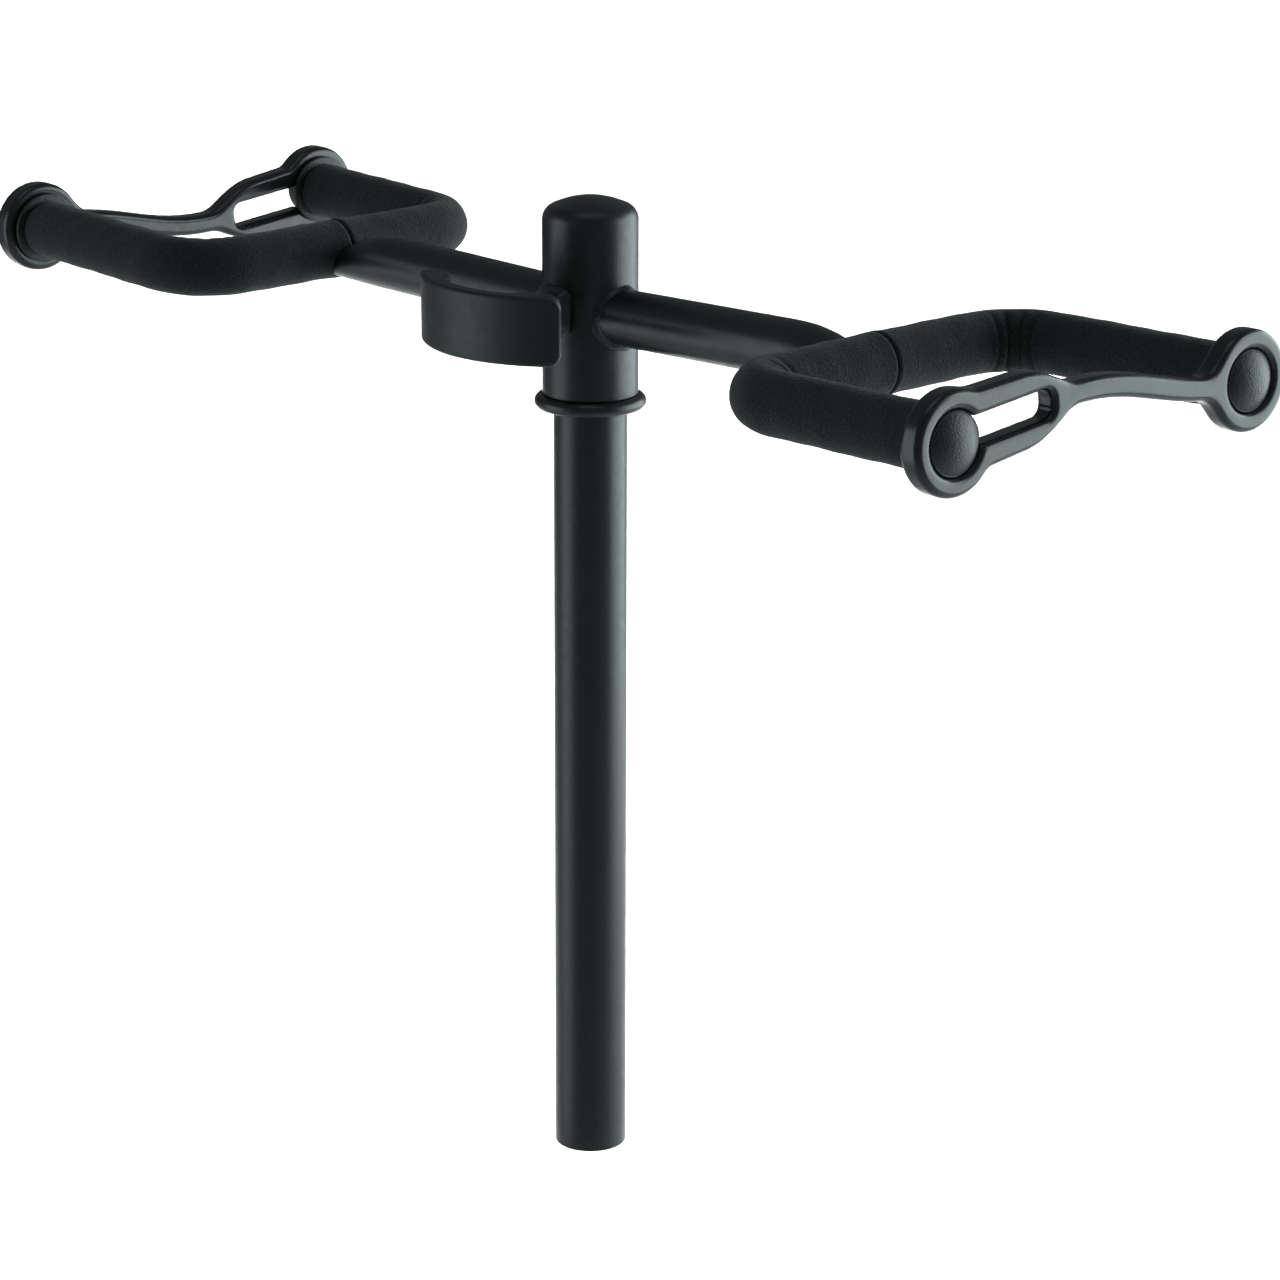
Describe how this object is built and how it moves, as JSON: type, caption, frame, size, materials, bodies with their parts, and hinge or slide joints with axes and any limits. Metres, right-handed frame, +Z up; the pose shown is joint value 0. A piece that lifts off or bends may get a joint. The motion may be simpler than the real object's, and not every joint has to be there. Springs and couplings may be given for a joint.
{
  "type": "guitar rack",
  "caption": "Head of a guitar stand: a mast tube carries a swivelling hub whose arms end in foam-padded neck yokes, each closed by a rubber strap.",
  "frame": {"origin": "centre of the mast tube's open lower end", "axes": "+Z up along the mast, +X along the arm on the right, -Y towards the side with the front plate"},
  "size_m": [0.4694, 0.1604, 0.3415],
  "materials": {
    "coated_steel": "satin black powder coat",
    "rod_steel": "zinc-plated rod, hidden in the foam",
    "foam": "fine closed-cell foam, matte",
    "cap_plastic": "fine matte texture",
    "strap_rubber": "moulded rubber, satin",
    "plate_rubber": "moulded rubber, satin",
    "bushing_black": "satin black nylon",
    "inner_plastic": "natural nylon, out of sight"
  },
  "bodies": {
    "mast": {"mast_tube": "coated_steel", "mast_top_plug": "inner_plastic"},
    "head": {"thrust_pad": "inner_plastic", "lower_bushing": "bushing_black", "upper_bushing": "inner_plastic", "hub_sleeve": "coated_steel", "arm_right": "coated_steel", "arm_left": "coated_steel", "yoke_rod_right": "rod_steel", "yoke_rod_left": "rod_steel", "foam_right_hook": "foam", "foam_right_anchor": "foam", "foam_left_hook": "foam", "foam_left_anchor": "foam", "cap_right_hook": "cap_plastic", "cap_right_anchor": "cap_plastic", "cap_left_hook": "cap_plastic", "cap_left_anchor": "cap_plastic", "strap_right_anchor": "strap_rubber", "strap_left_anchor": "strap_rubber", "plate_stem": "coated_steel", "front_plate": "plate_rubber"},
    "strap_right": {"strap_right_gate": "strap_rubber"},
    "strap_left": {"strap_left_gate": "strap_rubber"}
  },
  "joints": [
    {"name": "head_swivel", "type": "hinge", "parent": "mast", "child": "head", "pos_m": [0, 0, 0.302], "axis": [0, 0, 1], "continuous": true},
    {"name": "strap_right_flex", "type": "hinge", "parent": "head", "child": "strap_right", "pos_m": [0.22809, 0.03832, 0.30797], "axis": [-0.0262, 0, 0.9997], "range_deg": [0, 90], "stiffness_Nm_per_rad": 0.03},
    {"name": "strap_left_flex", "type": "hinge", "parent": "head", "child": "strap_left", "pos_m": [-0.22701, -0.04428, 0.30797], "axis": [0.0262, 0.0007, 0.9997], "range_deg": [0, 90], "stiffness_Nm_per_rad": 0.03}
  ]
}
